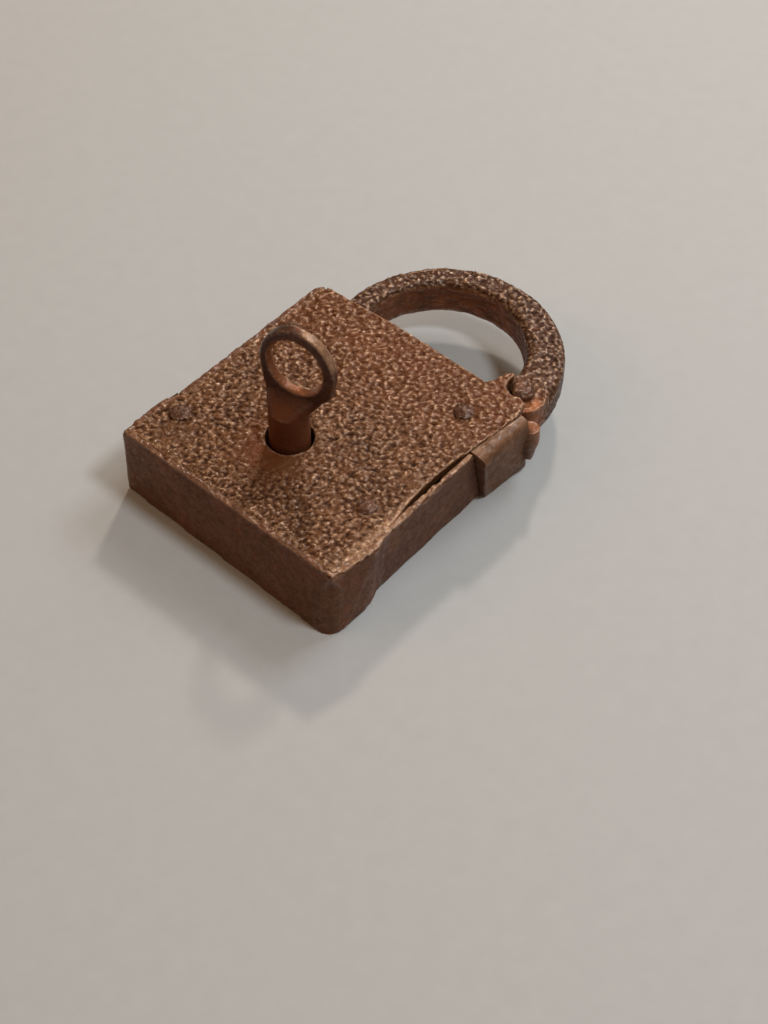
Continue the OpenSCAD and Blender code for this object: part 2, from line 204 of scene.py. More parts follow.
class Nodes:
    """Short calls for building one material's node tree."""

    def __init__(self, name):
        self.material = bpy.data.materials.new(name)
        self.material.use_nodes = True
        self.tree = self.material.node_tree
        self.tree.nodes.clear()
        self.where = self.add("ShaderNodeTexCoord").outputs["Object"]

    def add(self, kind, **inputs):
        node = self.tree.nodes.new(kind)
        for key, value in inputs.items():
            self.put(node.inputs[key.replace("_", " ")], value)
        return node

    def put(self, socket, value):
        if isinstance(value, bpy.types.NodeSocket):
            self.tree.links.new(value, socket)
        else:
            socket.default_value = value

    def noise(self, texture, seed=0.0):
        node = self.add("ShaderNodeTexNoise", Vector=self.where, Scale=1 / (texture.size * MM))
        node.noise_dimensions = "4D"
        node.inputs["Detail"].default_value = texture.detail
        node.inputs["Roughness"].default_value = texture.rough
        node.inputs["Distortion"].default_value = texture.warp
        node.inputs["W"].default_value = seed + texture.step
        return node.outputs["Fac"]

    def attribute(self, name):
        node = self.add("ShaderNodeAttribute")
        node.attribute_name = name
        return node.outputs["Fac"]

    def spread(self, value, low, high, to_low=0.0, to_high=1.0):
        node = self.add("ShaderNodeMapRange", Value=value)
        node.inputs["From Min"].default_value = low
        node.inputs["From Max"].default_value = high
        node.inputs["To Min"].default_value = to_low
        node.inputs["To Max"].default_value = to_high
        return node.outputs["Result"]

    def maths(self, kind, a, b):
        node = self.add("ShaderNodeMath")
        node.operation = kind
        self.put(node.inputs[0], a)
        self.put(node.inputs[1], b)
        return node.outputs["Value"]

    def times(self, a, b):
        return self.maths("MULTIPLY", a, b)

    def mix(self, factor, a, b):
        node = self.add("ShaderNodeMix")
        node.data_type = "RGBA"
        self.put(node.inputs["Factor"], factor)
        self.put(node.inputs["A"], a)
        self.put(node.inputs["B"], b)
        return node.outputs["Result"]

    def bump(self, height, strength, distance_mm, normal=None):
        node = self.add("ShaderNodeBump", Height=height, Strength=strength, Distance=distance_mm * MM)
        if normal:
            self.put(node.inputs["Normal"], normal)
        return node.outputs["Normal"]

    def finish(self, colour, rough, metal, normal, coat=0.0):
        shader = self.add("ShaderNodeBsdfPrincipled", Base_Color=colour, Roughness=rough, Metallic=metal)
        shader.inputs["Specular IOR Level"].default_value = SPECULAR
        shader.inputs["Coat Roughness"].default_value = COAT_ROUGH
        self.put(shader.inputs["Coat Weight"], coat)
        self.put(shader.inputs["Normal"], normal)
        self.put(shader.inputs["Coat Normal"], normal)
        out = self.add("ShaderNodeOutputMaterial")
        self.tree.links.new(shader.outputs["BSDF"], out.inputs["Surface"])
        return self.material


def srgb(r, g, b):
    """Linear colour of an sRGB colour from 0 to 255."""
    parts = [c / 255 for c in (r, g, b)]
    return [c / 12.92 if c <= 0.04045 else ((c + 0.055) / 1.055) ** 2.4 for c in parts] + [1.0]


# ---------------------------------------------------------------- old iron
BLOTCHES = Texture(14, 5, 0.6)
MOTTLE = Texture(2.2, 5, 0.65, 0.4, step=3)
GRIT = Texture(0.5, 4, 0.6, step=5)
PATCHES = Texture(9, 6, 0.7, 0.8, step=9)
# Flecks on the worn crests: partly worn bare iron, partly painted glints
GLINT_SPECKS = Texture(0.9, 3, 0.6, step=7)
TOOTH = Texture(0.95, 3, 0.5, 0.6, step=2)

# How textures and attributes are spread: from a band, to 0 and 1 or to the two values after it
BLOTCH_SPREAD = (0.35, 0.65)
BLOTCH_SHADE = 0.72
MOTTLE_SPREAD = (0.42, 0.68, 0, 0.55)
PATCH_SPREAD = (0.56, 0.72, 0, 0.6)
DIRT_SPREAD = (0.35, 0.5, 0.3, 0)
MIDDLE = (0.3, 0.7)
HOLLOW_SPREAD = (0.46, 0.05)
HOLLOW_DARK = 0.92
GLINT_SPECK_SPREAD = (0.44, 0.6, 0.1, 0.6)
TOP_SPREAD = (0.56, 0.9)
TOP_POLISH = 0.12
TOP_METAL = 0.25
RUST_SPREAD = (0.2, 0.6, 0.6, 1)
PALE_SPREAD = (0.3, 0.7, 0.55, 1)
ROUGH_STEP = 0.22
GLEAM_CREST_SPREAD = (0.45, 0.7)
GLEAM_GRIT_SPREAD = (0.42, 0.6, 0.2, 1.0)
# The same for the pieces inside the case, which have no attributes
INNER_WORN_SPREAD = (0.6, 0.75, 0, 0.4)
INNER_ROUGH_STEP = 0.25
INNER_METAL_STEP = 0.2
INNER_GLEAM_SPREAD = (0.5, 0.7, 0, 0.5)
# Strength and height in mm of the bumps
GRIT_BUMP = (0.7, 0.16)
TOOTH_BUMP = (0.8, 0.4)

# An iron's four colours, its finish, and how bare its crests are worn if it has a relief; that worn
# colour on the crests, in flecks, is partly painted glints
Iron = namedtuple("Iron", "deep body worn rust rough metal grain seed bare", defaults=(None,))

DEEP = srgb(40, 19, 9)
BROWN = srgb(110, 71, 43)
# Worn bare iron, also used to paint glint flecks on the crests
WORN = srgb(196, 152, 116)
RUST = srgb(140, 78, 40)

IRONS = {
    # The plate's rust colour also paints the key's shadow below the keyhole and its darker upper half
    "plate_iron": Iron(
        DEEP, BROWN, WORN, srgb(100, 53, 24),
        rough=0.40, metal=0.35, grain=1.0, seed=1.0, bare=0.9,
    ),
    "rim_iron": Iron(
        srgb(58, 32, 20), srgb(112, 72, 50), srgb(190, 148, 114), RUST,
        rough=0.5, metal=0.25, grain=0.6, seed=2.0, bare=0.35,
    ),
    "cheek_iron": Iron(
        srgb(66, 43, 32), srgb(122, 84, 58), srgb(140, 100, 72), srgb(140, 80, 46),
        rough=0.5, metal=0.3, grain=0.6, seed=3.0, bare=0.3,
    ),
    "rivet_iron": Iron(
        DEEP, srgb(94, 60, 42), WORN, RUST,
        rough=0.34, metal=0.4, grain=0.8, seed=4.0, bare=0.5,
    ),
    "shackle_iron": Iron(
        DEEP, srgb(84, 54, 36), WORN, srgb(156, 94, 58),
        rough=0.38, metal=0.35, grain=0.9, seed=5.0, bare=0.9,
    ),
    # The key's worn colour also paints the light and highlights on its bow's rims
    "key_iron": Iron(
        srgb(50, 26, 16), srgb(84, 55, 43), srgb(206, 158, 118), srgb(128, 68, 32),
        rough=0.36, metal=0.4, grain=0.35, seed=6.0, bare=0.3,
    ),
    "work_iron": Iron(
        DEEP, srgb(92, 62, 46), WORN, RUST,
        rough=0.45, metal=0.4, grain=0.8, seed=7.0,
    ),
    "spring_steel": Iron(
        srgb(50, 40, 36), srgb(96, 84, 78), srgb(150, 140, 132), RUST,
        rough=0.4, metal=0.6, grain=0.5, seed=8.0,
    ),
}


def forged_finish(t, iron, colour, patches, mottle, grit):
    """Colour, roughness, metal and gleam of a piece with a relief, by its crests and hollows."""
    crest = t.attribute("crest")
    colour = t.mix(t.times(t.spread(crest, *HOLLOW_SPREAD), HOLLOW_DARK), colour, iron.deep)
    # Lighter crests in flecks: partly real wear, partly painted glints
    glint_specks = t.spread(t.noise(GLINT_SPECKS, iron.seed), *GLINT_SPECK_SPREAD)
    top = t.times(t.spread(crest, *TOP_SPREAD), glint_specks)
    # The rust mask; on the front plate it also holds the key's painted shadow and a darker upper half
    rust = t.times(t.attribute("rust"), t.spread(mottle, *RUST_SPREAD))
    colour = t.mix(t.maths("MAXIMUM", patches, rust), colour, iron.rust)
    # Paints the crests in the worn colour: worn bare iron with painted glints
    colour = t.mix(t.times(top, iron.bare), colour, iron.worn)
    # The pale mask: bare worn edges, and on the key painted light and highlights on its bow
    colour = t.mix(t.times(t.attribute("pale"), t.spread(grit, *PALE_SPREAD)), colour, iron.worn)
    rough = t.spread(mottle, *MIDDLE, iron.rough, iron.rough + ROUGH_STEP)
    rough = t.maths("SUBTRACT", rough, t.times(top, TOP_POLISH))
    metal = t.maths("ADD", t.times(top, TOP_METAL), iron.metal)
    gleam = t.times(t.spread(crest, *GLEAM_CREST_SPREAD), t.spread(grit, *GLEAM_GRIT_SPREAD))
    return colour, rough, metal, gleam


def inner_finish(t, iron, colour, patches, mottle, grit, blotches):
    """The same for a piece inside the case, by noise alone."""
    colour = t.mix(patches, colour, iron.rust)
    colour = t.mix(t.spread(grit, *INNER_WORN_SPREAD), colour, iron.worn)
    rough = t.spread(mottle, *MIDDLE, iron.rough, iron.rough + INNER_ROUGH_STEP)
    metal = t.spread(blotches, *MIDDLE, iron.metal, iron.metal + INNER_METAL_STEP)
    return colour, rough, metal, t.spread(grit, *INNER_GLEAM_SPREAD)


def iron_material(name, iron):
    """Old rust-browned iron: deep in the hollows, worn on the crests with painted glint flecks, rust in
    patches.
    """
    t = Nodes(name)
    blotches = t.noise(BLOTCHES, iron.seed)
    mottle = t.noise(MOTTLE, iron.seed)
    grit = t.noise(GRIT, iron.seed)
    patches = t.spread(t.noise(PATCHES, iron.seed), *PATCH_SPREAD)
    shade = [c * BLOTCH_SHADE for c in iron.body[:3]] + [1]
    colour = t.mix(t.spread(blotches, *BLOTCH_SPREAD), iron.body, shade)
    colour = t.mix(t.spread(mottle, *MOTTLE_SPREAD), colour, iron.deep)
    if iron.bare is None:
        finish = inner_finish(t, iron, colour, patches, mottle, grit, blotches)
    else:
        finish = forged_finish(t, iron, colour, patches, mottle, grit)
    colour, rough, metal, gleam = finish
    colour = t.mix(t.spread(grit, *DIRT_SPREAD), colour, iron.deep)
    normal = t.bump(grit, GRIT_BUMP[0] * iron.grain, GRIT_BUMP[1])
    normal = t.bump(t.noise(TOOTH, iron.seed), TOOTH_BUMP[0] * iron.grain, TOOTH_BUMP[1], normal)
    return t.finish(colour, rough, metal, normal, gleam)


MATERIALS = {name: iron_material(name, iron) for name, iron in IRONS.items()}

# ---------------------------------------------------------------- meshes
# Widths in mm of the remeshed faces
COARSE = 0.6
FINE = 0.4
FINEST = 0.3
CREST_ROUNDS = 8
CREST_SCALE = 0.3


def remeshed(node, pitch, name):
    """A copy of a CAD node's mesh rebuilt as an even grid of faces, pitch mm wide."""
    obj = bpy.data.objects.new(name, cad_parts[node].data.copy())
    bpy.context.scene.collection.objects.link(obj)
    grid = obj.modifiers.new("grid", "REMESH")
    grid.mode = "VOXEL"
    grid.voxel_size = pitch * MM
    bpy.context.view_layer.update()
    mesh = bpy.data.meshes.new_from_object(obj.evaluated_get(bpy.context.evaluated_depsgraph_get()))
    obj.modifiers.clear()
    obj.data = mesh
    mesh.name = name
    return obj


def points(mesh):
    co = np.empty(len(mesh.vertices) * 3)
    mesh.vertices.foreach_get("co", co)
    return co.reshape(-1, 3) / MM


def set_points(mesh, co):
    mesh.vertices.foreach_set("co", (co * MM).ravel())
    mesh.update()


def normals(mesh):
    out = np.empty(len(mesh.vertices) * 3)
    mesh.vertex_normals.foreach_get("vector", out)
    return out.reshape(-1, 3)


class Web:
    """The edges of a mesh, for averaging each point with its neighbours."""

    def __init__(self, mesh):
        ends = np.empty(len(mesh.edges) * 2, dtype=np.int32)
        mesh.edges.foreach_get("vertices", ends)
        self.a, self.b = ends.reshape(-1, 2).T
        self.count = len(mesh.vertices)
        self.degree = np.maximum(np.bincount(ends, minlength=self.count), 1)

    def mean(self, values):
        total = np.bincount(self.a, values[self.b], self.count)
        total += np.bincount(self.b, values[self.a], self.count)
        return total / self.degree

    def smooth(self, co, rounds):
        co = co.copy()
        for _ in range(rounds):
            for axis in range(3):
                co[:, axis] = 0.5 * co[:, axis] + 0.5 * self.mean(co[:, axis])
        return co


def within_cad(co):
    """Points held inside the box of the CAD model."""
    low, high = (np.array(corner) / MM for corner in CAD_BOX)
    return np.clip(co, low, high)


def store(mesh, name, values):
    """Keeps one number per vertex for the materials to read."""
    attribute = mesh.attributes.new(name, "FLOAT", "POINT")
    attribute.data.foreach_set("value", np.clip(values, 0, 1).astype(np.float32))


def store_finish(mesh, web, co, rust, pale):
    """Keeps where the crests are, the fresh rust and the bare pale edges; on the front plate the rust
    also holds the key's painted shadow and a darker upper half, and on the key the pale holds painted
    highlights.
    """
    crest = ((co - web.smooth(co, CREST_ROUNDS)) * normals(mesh)).sum(axis=1)
    store(mesh, "crest", 0.5 + crest / CREST_SCALE)
    store(mesh, "rust", rust(co) if rust else np.zeros(len(co)))
    store(mesh, "pale", pale(co) if pale else np.zeros(len(co)))


def forge(node, name, body, slot, relief, bend=None, rust=None, pale=None, pitch=FINE, soften=1):
    """A hammered, worn and pitted piece in place of a CAD node."""
    obj = remeshed(node, pitch, name)
    mesh = obj.data
    web = Web(mesh)
    co = web.smooth(points(mesh), soften)
    if bend:
        co = bend(co)
    set_points(mesh, co)
    n = normals(mesh)
    co = within_cad(co + n * relief(co, n)[:, None])
    set_points(mesh, co)
    store_finish(mesh, web, co, rust, pale)
    mesh.shade_smooth()
    mesh.materials.clear()
    mesh.materials.append(MATERIALS[slot])
    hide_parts(node)
    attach(obj, body)
    return obj


# ---------------------------------------------------------------- corroded and hammered surfaces
# The noises of the corroded surface: size and height in mm. In the sections below, a name with MARKS
# has the depth, size and seed for hammered, and any other noise has the four values for uneven
EATEN_WARP = (2.2, 0.6)
LUMPS = (1.9, 0.38)
SMALL_LUMPS = (1.1, 0.27)
HOLES = (3.0, 0.3)
HOLE_BAND = (0.1, 0.6)
GRAINS = (1.5, 0.34)
SWELL = (5.0, 0.22)
SWELL_OCTAVES = 2
EATEN_SINK = 0.5
TOOTH_SIZE = 2.0
TOOTH_SHARE = 0.3
HAMMER_SINK = 0.6
# The front face: how far its normals point forwards, and its depth in mm
FORWARD = (0.3, 0.8)
FACE_DEPTH = (1.4, 0.6)
# The seeds of the corroded surfaces; all of the case's front face has one
CASE_SEED = 11
HOOP_SEED = 14
HEAD_SEED = 15


def eaten(p, seed):
    """The corroded surface of the old iron in mm: lumps 1 to 3 mm across and deeper pits."""
    q = warped(p, *EATEN_WARP, seed)
    lumps = pebbles(q, LUMPS[0], seed + 10) * LUMPS[1]
    lumps = lumps + pebbles(q, SMALL_LUMPS[0], seed + 20) * SMALL_LUMPS[1]
    holes = ramp(layered(q, HOLES[0], seed + 30), *HOLE_BAND) * HOLES[1]
    grains = layered(q, GRAINS[0], seed + 40) * GRAINS[1]
    swell = layered(p, SWELL[0], seed + 50, SWELL_OCTAVES) * SWELL[1]
    return lumps + grains + swell - holes - EATEN_SINK


def hammered(depth, size, seed):
    """Relief of a wall: broad shallow hammer marks with a fine tooth."""

    def relief(p, n):
        marks = layered(p, size, seed) * depth
        tooth = layered(p, TOOTH_SIZE, seed + 7) * depth * TOOTH_SHARE
        return marks + tooth - depth * HAMMER_SINK

    return relief


def on_face(p, n):
    """1 on the case's front face, 0 on its other sides."""
    return ramp(n[:, 2], *FORWARD) * near_front(p[:, 2], *FACE_DEPTH)


# ---------------------------------------------------------------- front and back plate
# The hammered edges: how far they are spread out or drawn in, in mm, and where
LIP_DEPTH = (1.6, 0.4)
LIP_OUT = 0.55
LIP_BOTTOM_Y = (-38.0, -38.7)
LIP_LEFT_X = (-36.4, -37.0)
CORNER_OUT = 0.8
CORNER_X = (36.8, 37.8)
CORNER_Y = (-11, -17)
SEAM_IN = 0.5
SEAM_X = (35.8, 36.8)
SEAM_LOW_Y = (-14, -6)
SEAM_HIGH_Y = (19, 12)
# Where the face is worn smooth, and how much of its lumps that takes
WORN_SPOTS = (
    ((-5.8, -20.8), 6.5, 1.0),
    ((2.0, -19.0), 5.0, 1.0),
    ((33.0, -1.0), 4.5, 0.7),
    ((-30.5, -31.8), 6.0, 0.6),
)
WORN_EDGE = 0.25
WORN_EDGE_X = (34.5, 37.5)
WORN_EDGE_Y = (4, -6)
WORN_CALM = 0.8
PLATE_WAVES = (0, 0.35, 11.0, 41)
PLATE_TOOTH = (0, 0.06, 2.2, 51)
# The groove hammered around each rivet's head, in mm
RING_R = 4.1
RING_WIDTH = 0.7
RING_DEPTH = 0.12
# Rust around the keyhole, partly the key's painted shadow below it, and rust by the hinge: centre,
# radius and strength
RUST_AND_KEY_SHADOW_SPOTS = (
    ((-5.5, -20.0), 7.0, 1.3),
    ((3.0, -18.0), 6.0, 0.5),
    ((-11, -14), 5.0, 1.1),
    ((27.0, 48.5), 2.4, 0.5),
    ((36.5, 44.0), 2.5, 0.5),
)
# A darker colour over the plate's upper half, towards the shackle
UPPER_DARKENING = 0.6
UPPER_DARKENING_Y = (0, 32)
PLATE_RUST_AND_SHADE_NOISE = (0.75, 0.5, 4.0, 61)
BARE_EDGE = 0.45
BARE_EDGE_X = (35.0, 37.8)
BARE_EDGE_Y = (2, -6)
BARE_EDGE_DEPTH = (1, 0.5)
PLATE_BARE = (0.5, 1.2, 2, 71)
BACK_MARKS = (0.25, 7.0, 121)


def spread_plate(p):
    """The plate's edges hammered out over the rim, and drawn in along the open seam at the right."""
    p = p.copy()
    x, y, z = p.T
    up = near_front(z, *LIP_DEPTH)
    y -= LIP_OUT * up * ramp(y, *LIP_BOTTOM_Y)
    x -= LIP_OUT * up * ramp(x, *LIP_LEFT_X)
    x += CORNER_OUT * up * ramp(x, *CORNER_X) * ramp(y, *CORNER_Y)
    x -= SEAM_IN * ramp(x, *SEAM_X) * ramp(y, *SEAM_LOW_Y) * ramp(y, *SEAM_HIGH_Y)
    return p


def smooth_spots(p):
    """Where the face is worn smooth: below the keyhole, by the seam and along the right edge."""
    edge = ramp(p[:, 0], *WORN_EDGE_X) * ramp(p[:, 1], *WORN_EDGE_Y)
    return np.clip(spots(p, WORN_SPOTS) + WORN_EDGE * edge, 0, 1)


def pitted_top(p, n):
    """Relief of the front plate: lumps and pits on its face, a fine tooth on its other sides."""
    up = on_face(p, n)
    calm = 1 - WORN_CALM * smooth_spots(p)
    ring = sum(np.exp(-(((away(p, at) - RING_R) / RING_WIDTH) ** 2)) for at in RIVETS)
    waves = uneven(p, *PLATE_WAVES) - RING_DEPTH * ring
    return eaten(p, CASE_SEED) * up * calm + waves * up + uneven(p, *PLATE_TOOTH)


def plate_rust_and_key_shadow(p):
    """Rust and rust stains around the keyhole with the key's painted shadow below it, a darker colour
    over the upper half, and rust by the hinge.
    """
    # Rust and the key's painted shadow, with a darker upper half
    stain_and_shadow = spots(p, RUST_AND_KEY_SHADOW_SPOTS) + UPPER_DARKENING * ramp(p[:, 1], *UPPER_DARKENING_Y)
    return np.clip(stain_and_shadow * uneven(p, *PLATE_RUST_AND_SHADE_NOISE), 0, 1)


def plate_pale(p):
    """The bare edge at the lower right."""
    edge = ramp(p[:, 0], *BARE_EDGE_X) * ramp(p[:, 1], *BARE_EDGE_Y)
    edge = edge * near_front(p[:, 2], *BARE_EDGE_DEPTH)
    return np.clip(BARE_EDGE * edge * uneven(p, *PLATE_BARE), 0, 1)


# ---------------------------------------------------------------- strap and walls
# The strap's lower right corner: its place at the front, and how it leans and drops behind
STRAP_X = 40.2
STRAP_Y = -41
STRAP_SLANT = 0.14
STRAP_DROP = 1.9
STRAP_ROUND = 1.2
STRAP_ROUND_MORE = 3.6
STRAP_ROUND_Z = (24.5, 17)
# The thinned ends of the strap's legs: how thin in mm, and where
RIGHT_END_X = (36, 38)
RIGHT_END_Y = (-26, -20.3)
RIGHT_FACE_X = (37.5, 40)
RIGHT_THIN = 0.35
RIGHT_THIN_BACK = 0.8
LEFT_END_Y = (-28, -20.3)
LEFT_FACE_X = (-39.5, -40.5)
LEFT_THIN = 0.9
TUCK = 1.2
TUCK_Y = (-18.5, -19.8)
# The frayed front edge
FRAY_DEPTH = (1.8, 0.2)
FRAY_RIGHT_X = (36.0, 39.0)
FRAY_LEFT_X = (-37.0, -38.5)
FRAY = 0.1
FRAY_RIGHT = 0.9
FRAY_LEFT = 0.4
CHIP_SIZE = 4.5
CHIP_SEED = 81
CHIP_OCTAVES = 4
CHIP_START = 0.05
CHIP_DEPTH = 2.4
EDGE_MARKS = (0.2, 8.0, 83)
EDGE_EATEN = 0.7
# The bare rim: at the right, and less in places along the bottom
RIM_DEPTH = (1.2, 0.5)
RIM_RIGHT_X = (37.0, 38.5)
RIM_LOW_Y = (-38.0, -39.5)
RIM_LOW = 0.6
RIM_LOW_NOISE = (0, 1, 3.5, 93)
RIM_LOW_BAND = (-0.2, 0.5)
RIM_BARE = (0.35, 0.9, 1.8, 91)
TOP_MARKS = (0.15, 6.0, 131)


def rounded_strap(p):
    """The strap with its lower right corner rounded, more so away from the front."""
    p = p.copy()
    x, y, z = p.T
    back = 1 - z / FRONT
    corner_y = STRAP_Y - STRAP_DROP * back
    depth_y = y - corner_y
    depth_x = STRAP_X - x + STRAP_SLANT * depth_y
    u, v = round_off(depth_x, depth_y, STRAP_ROUND + STRAP_ROUND_MORE * ramp(z, *STRAP_ROUND_Z))
    y[:] = corner_y + v
    x[:] = STRAP_X + STRAP_SLANT * v - u
    taper = ramp(y, *RIGHT_END_Y) * ramp(x, *RIGHT_END_X)
    x -= taper * (RIGHT_THIN + RIGHT_THIN_BACK * back) * ramp(x, *RIGHT_FACE_X)
    x += LEFT_THIN * ramp(y, *LEFT_END_Y) * ramp(x, *LEFT_FACE_X)
    return p


def tucked_wall(p):
    """The right wall with its lower end tucked under the strap's end."""
    p = p.copy()
    p[:, 1] -= TUCK * ramp(p[:, 1], *TUCK_Y)
    return p


def ragged_edge(p, n):
    """Relief of the strap and the side walls: frayed at the front edge, hammer marks elsewhere."""
    x, y, z = p.T
    chips = np.minimum(layered(p, CHIP_SIZE, CHIP_SEED, CHIP_OCTAVES) - CHIP_START, 0) * CHIP_DEPTH
    out = np.abs(n[:, 0]) + np.abs(n[:, 1])
    fray = FRAY + FRAY_RIGHT * ramp(x, *FRAY_RIGHT_X) + FRAY_LEFT * ramp(x, *FRAY_LEFT_X)
    frayed = chips * near_front(z, *FRAY_DEPTH) * out * fray
    face = eaten(p, CASE_SEED) * EDGE_EATEN * on_face(p, n)
    return hammered(*EDGE_MARKS)(p, n) + frayed + face


def edge_pale(p):
    """The bare front rim of the strap and the right wall."""
    x, y, z = p.T
    low = ramp(y, *RIM_LOW_Y) * ramp(uneven(p, *RIM_LOW_NOISE), *RIM_LOW_BAND)
    where = np.maximum(ramp(x, *RIM_RIGHT_X), RIM_LOW * low)
    return np.clip(near_front(z, *RIM_DEPTH) * uneven(p, *RIM_BARE) * where, 0, 1)


# ---------------------------------------------------------------- cheek block
# The block's outer side: its X at the front, and how much it leans in at the back
CHEEK_SIDE = 44.0
CHEEK_LEAN = 3.7
CHEEK_ROUND = 4.4
CHEEK_TOP = 39.5
CHEEK_WAVES = (-0.2, 0.35, 7.0, 101)
CHEEK_TOOTH = (0, 0.12, 2.4, 105)
CHEEK_RUST = 0.7
CHEEK_RUST_Y = (38.5, 41.5)
CHEEK_RUST_Z = (11, 15)
CHEEK_BARE_DEPTH = (2.2, 0.4)
CHEEK_BARE = (0.12, 0.5, 2, 107)


def rounded_cheek(p):
    """The cheek block with its outer front edge rounded over."""
    p = p.copy()
    x, y, z = p.T
    side = CHEEK_SIDE - CHEEK_LEAN * (1 - z / FRONT)
    u, v = round_off(side - x, FRONT - z, CHEEK_ROUND)
    block = y < CHEEK_TOP
    x[:] = np.where(block, side - u, x)
    z[:] = np.where(block, FRONT - v, z)
    return p


def cheek_relief(p, n):
    return uneven(p, *CHEEK_WAVES) + uneven(p, *CHEEK_TOOTH)


def cheek_rust(p):
    return CHEEK_RUST * ramp(p[:, 1], *CHEEK_RUST_Y) * ramp(p[:, 2], *CHEEK_RUST_Z)


def cheek_pale(p):
    return np.clip(near_front(p[:, 2], *CHEEK_BARE_DEPTH) * uneven(p, *CHEEK_BARE), 0, 1)


# ---------------------------------------------------------------- shackle and rivets
# Radii in mm of the shackle's rounded edges
INNER_ROUND = 2.6
OUTER_ROUND = 2.0
HINGE_BEVEL = 2.6
BELLY_ROUND = 4.5
# Where the bevel by the hinge sets in
HINGE_X = (20, 33)
HINGE_Y = (68, 52)
# Where the edges are rounded: above the case, and no further than this from a wall
BAR_Y = (43.0, 48.0)
BAR_REACH = 6
UPWARD = (0.2, 0.8)
HOOP_EATEN = 0.9
SIDE_EATEN = 0.35
SIDE_CALM = 0.6
HOOP_WAVES = (-0.05, 0.22, 9.0, 43)
INNER_WALL = (INNER_R + 1.5, INNER_R + 0.4)
STREAK_STRETCH = (0.5, 0.5, 1.5)
STREAKS = (0, 0.3, 2.5, 67)
HINGE_RUST = (
    ((38.0, 46.5), 3.8, 1.0),
    (PIVOT_AT, 8, 0.15),
)
WALL_RUST = (INNER_R + 1.0, INNER_R + 0.2)
WALL_RUST_X = (26, 8)
WALL_RUST_Z = (HOOP_TOP - 0.6, HOOP_TOP - 3.0)
WALL_RUST_NOISE = (0.5, 0.6, 6, 65)
HOOP_RUST_NOISE = (0.9, 0.5, 3, 63)
HEAD_EATEN = 0.45
HEAD_LUMPS = (0, 0.3, 3.0, 17)
HEAD_Z = (20, 24)


def rounded_wall(p, centre, radius, inside, above, below):
    """Rounds the edges of a round wall of the hoop; inside is 1 for the inner wall, -1 for the outer."""
    dx = p[:, 0] - centre[0]
    dy = p[:, 1] - centre[1]
    far = np.maximum(np.hypot(dx, dy), TINY)
    u, v = round_off(inside * (far - radius), HOOP_TOP - p[:, 2], above)
    u, v = round_off(u, HOOP_TOP - v - HOOP_LOW, below)
    scale = (radius + inside * u) / far
    rounded = np.column_stack([centre[0] + dx * scale, centre[1] + dy * scale, HOOP_LOW + v])
    bar = (np.abs(far - radius) < BAR_REACH) & (away(p, PIVOT_AT) >= HUB_R)
    share = ramp(p[:, 1], *BAR_Y) * bar
    return p + share[:, None] * (rounded - p)


def worn_hoop(p):
    """The shackle's square bar with its edges rounded, and bevelled at the outside by the hinge."""
    p = rounded_wall(p, INNER_AT, INNER_R, 1, INNER_ROUND, INNER_ROUND)
    hinge = ramp(p[:, 0], *HINGE_X) * ramp(p[:, 1], *HINGE_Y)
    return rounded_wall(p, LOOP_AT, LOOP_R, -1, OUTER_ROUND + HINGE_BEVEL * hinge, BELLY_ROUND)


def shackle_relief(p, n):
    """Lumps and pits on top, shallower ones on the sides, and streaks on the inner wall."""
    up = ramp(n[:, 2], *UPWARD)
    inner = ramp(away(p, INNER_AT), *INNER_WALL)
    lumps = eaten(p, HOOP_SEED)
    side = SIDE_EATEN * lumps * (1 - up) * (1 - SIDE_CALM * inner)
    streaks = uneven(p * STREAK_STRETCH, *STREAKS) * (1 - up) * inner
    return lumps * HOOP_EATEN * up + side + streaks + uneven(p, *HOOP_WAVES)


def shackle_rust(p):
    """Fresh rust by the hinge, and down the inner wall."""
    wall = ramp(away(p, INNER_AT), *WALL_RUST)
    wall *= ramp(p[:, 0], *WALL_RUST_X) * ramp(p[:, 2], *WALL_RUST_Z)
    wall *= uneven(p, *WALL_RUST_NOISE)
    return np.clip((spots(p, HINGE_RUST) + wall) * uneven(p, *HOOP_RUST_NOISE), 0, 1)


def head_relief(p, n):
    lumps = eaten(p, HEAD_SEED) * HEAD_EATEN + uneven(p, *HEAD_LUMPS)
    return lumps * ramp(p[:, 2], *HEAD_Z)


# ---------------------------------------------------------------- key
KEY_WAVES = (0.12, 0.14, 6.0, 111)
KEY_TOOTH = (0, 0.06, 1.6, 113)
# Bands in shares of an oval: around the eye's wall, and at the bow's outline
EYE_RIM = (1.08, 1.02)
BOW_RIM = (0.95, 0.99)
EYE_RUST = 0.8
EYE_RUST_Z = (40, 43)
STEM_RUST = 0.5
STEM_RUST_Z = (45, 38)
# Painted light on the eye's inner rim: at its lower left and along its bottom, by height over the bow's
# middle
EYE_PAINTED_LIGHT = 0.14
LOWER_LEFT = (4.0, -2.0)
LOWER_LEFT_HIGH = (-10.8, -9.0)
BOTTOM_HIGH = (-3, -8)
BOTTOM_SHARE = 0.8
# A painted highlight on the bow's outer rim at its upper right
BOW_PAINTED_HIGHLIGHT = 0.5
BOW_HIGHLIGHT_ALONG = (3, 7)
BOW_HIGHLIGHT_HIGH = (1, 6)
# Noise over the bow's painted light and highlight
KEY_HIGHLIGHT_NOISE = (0.85, 0.6, 2.5, 115)


def on_bow(p):
    """Each point's place across the bow, in mm from the key's axis, and its height."""
    along = (p[:, 0] - KEY_AT[0]) * BOW_ALONG[0] + (p[:, 1] - KEY_AT[1]) * BOW_ALONG[1]
    return along, p[:, 2]


def in_oval(along, z, middle, size):
    """Distance from an oval's middle as a share of its outline's."""
    return np.hypot((along - middle[0]) / size[0], (z - middle[1]) / size[1])


def key_relief(p, n):
    return uneven(p, *KEY_WAVES) + uneven(p, *KEY_TOOTH)


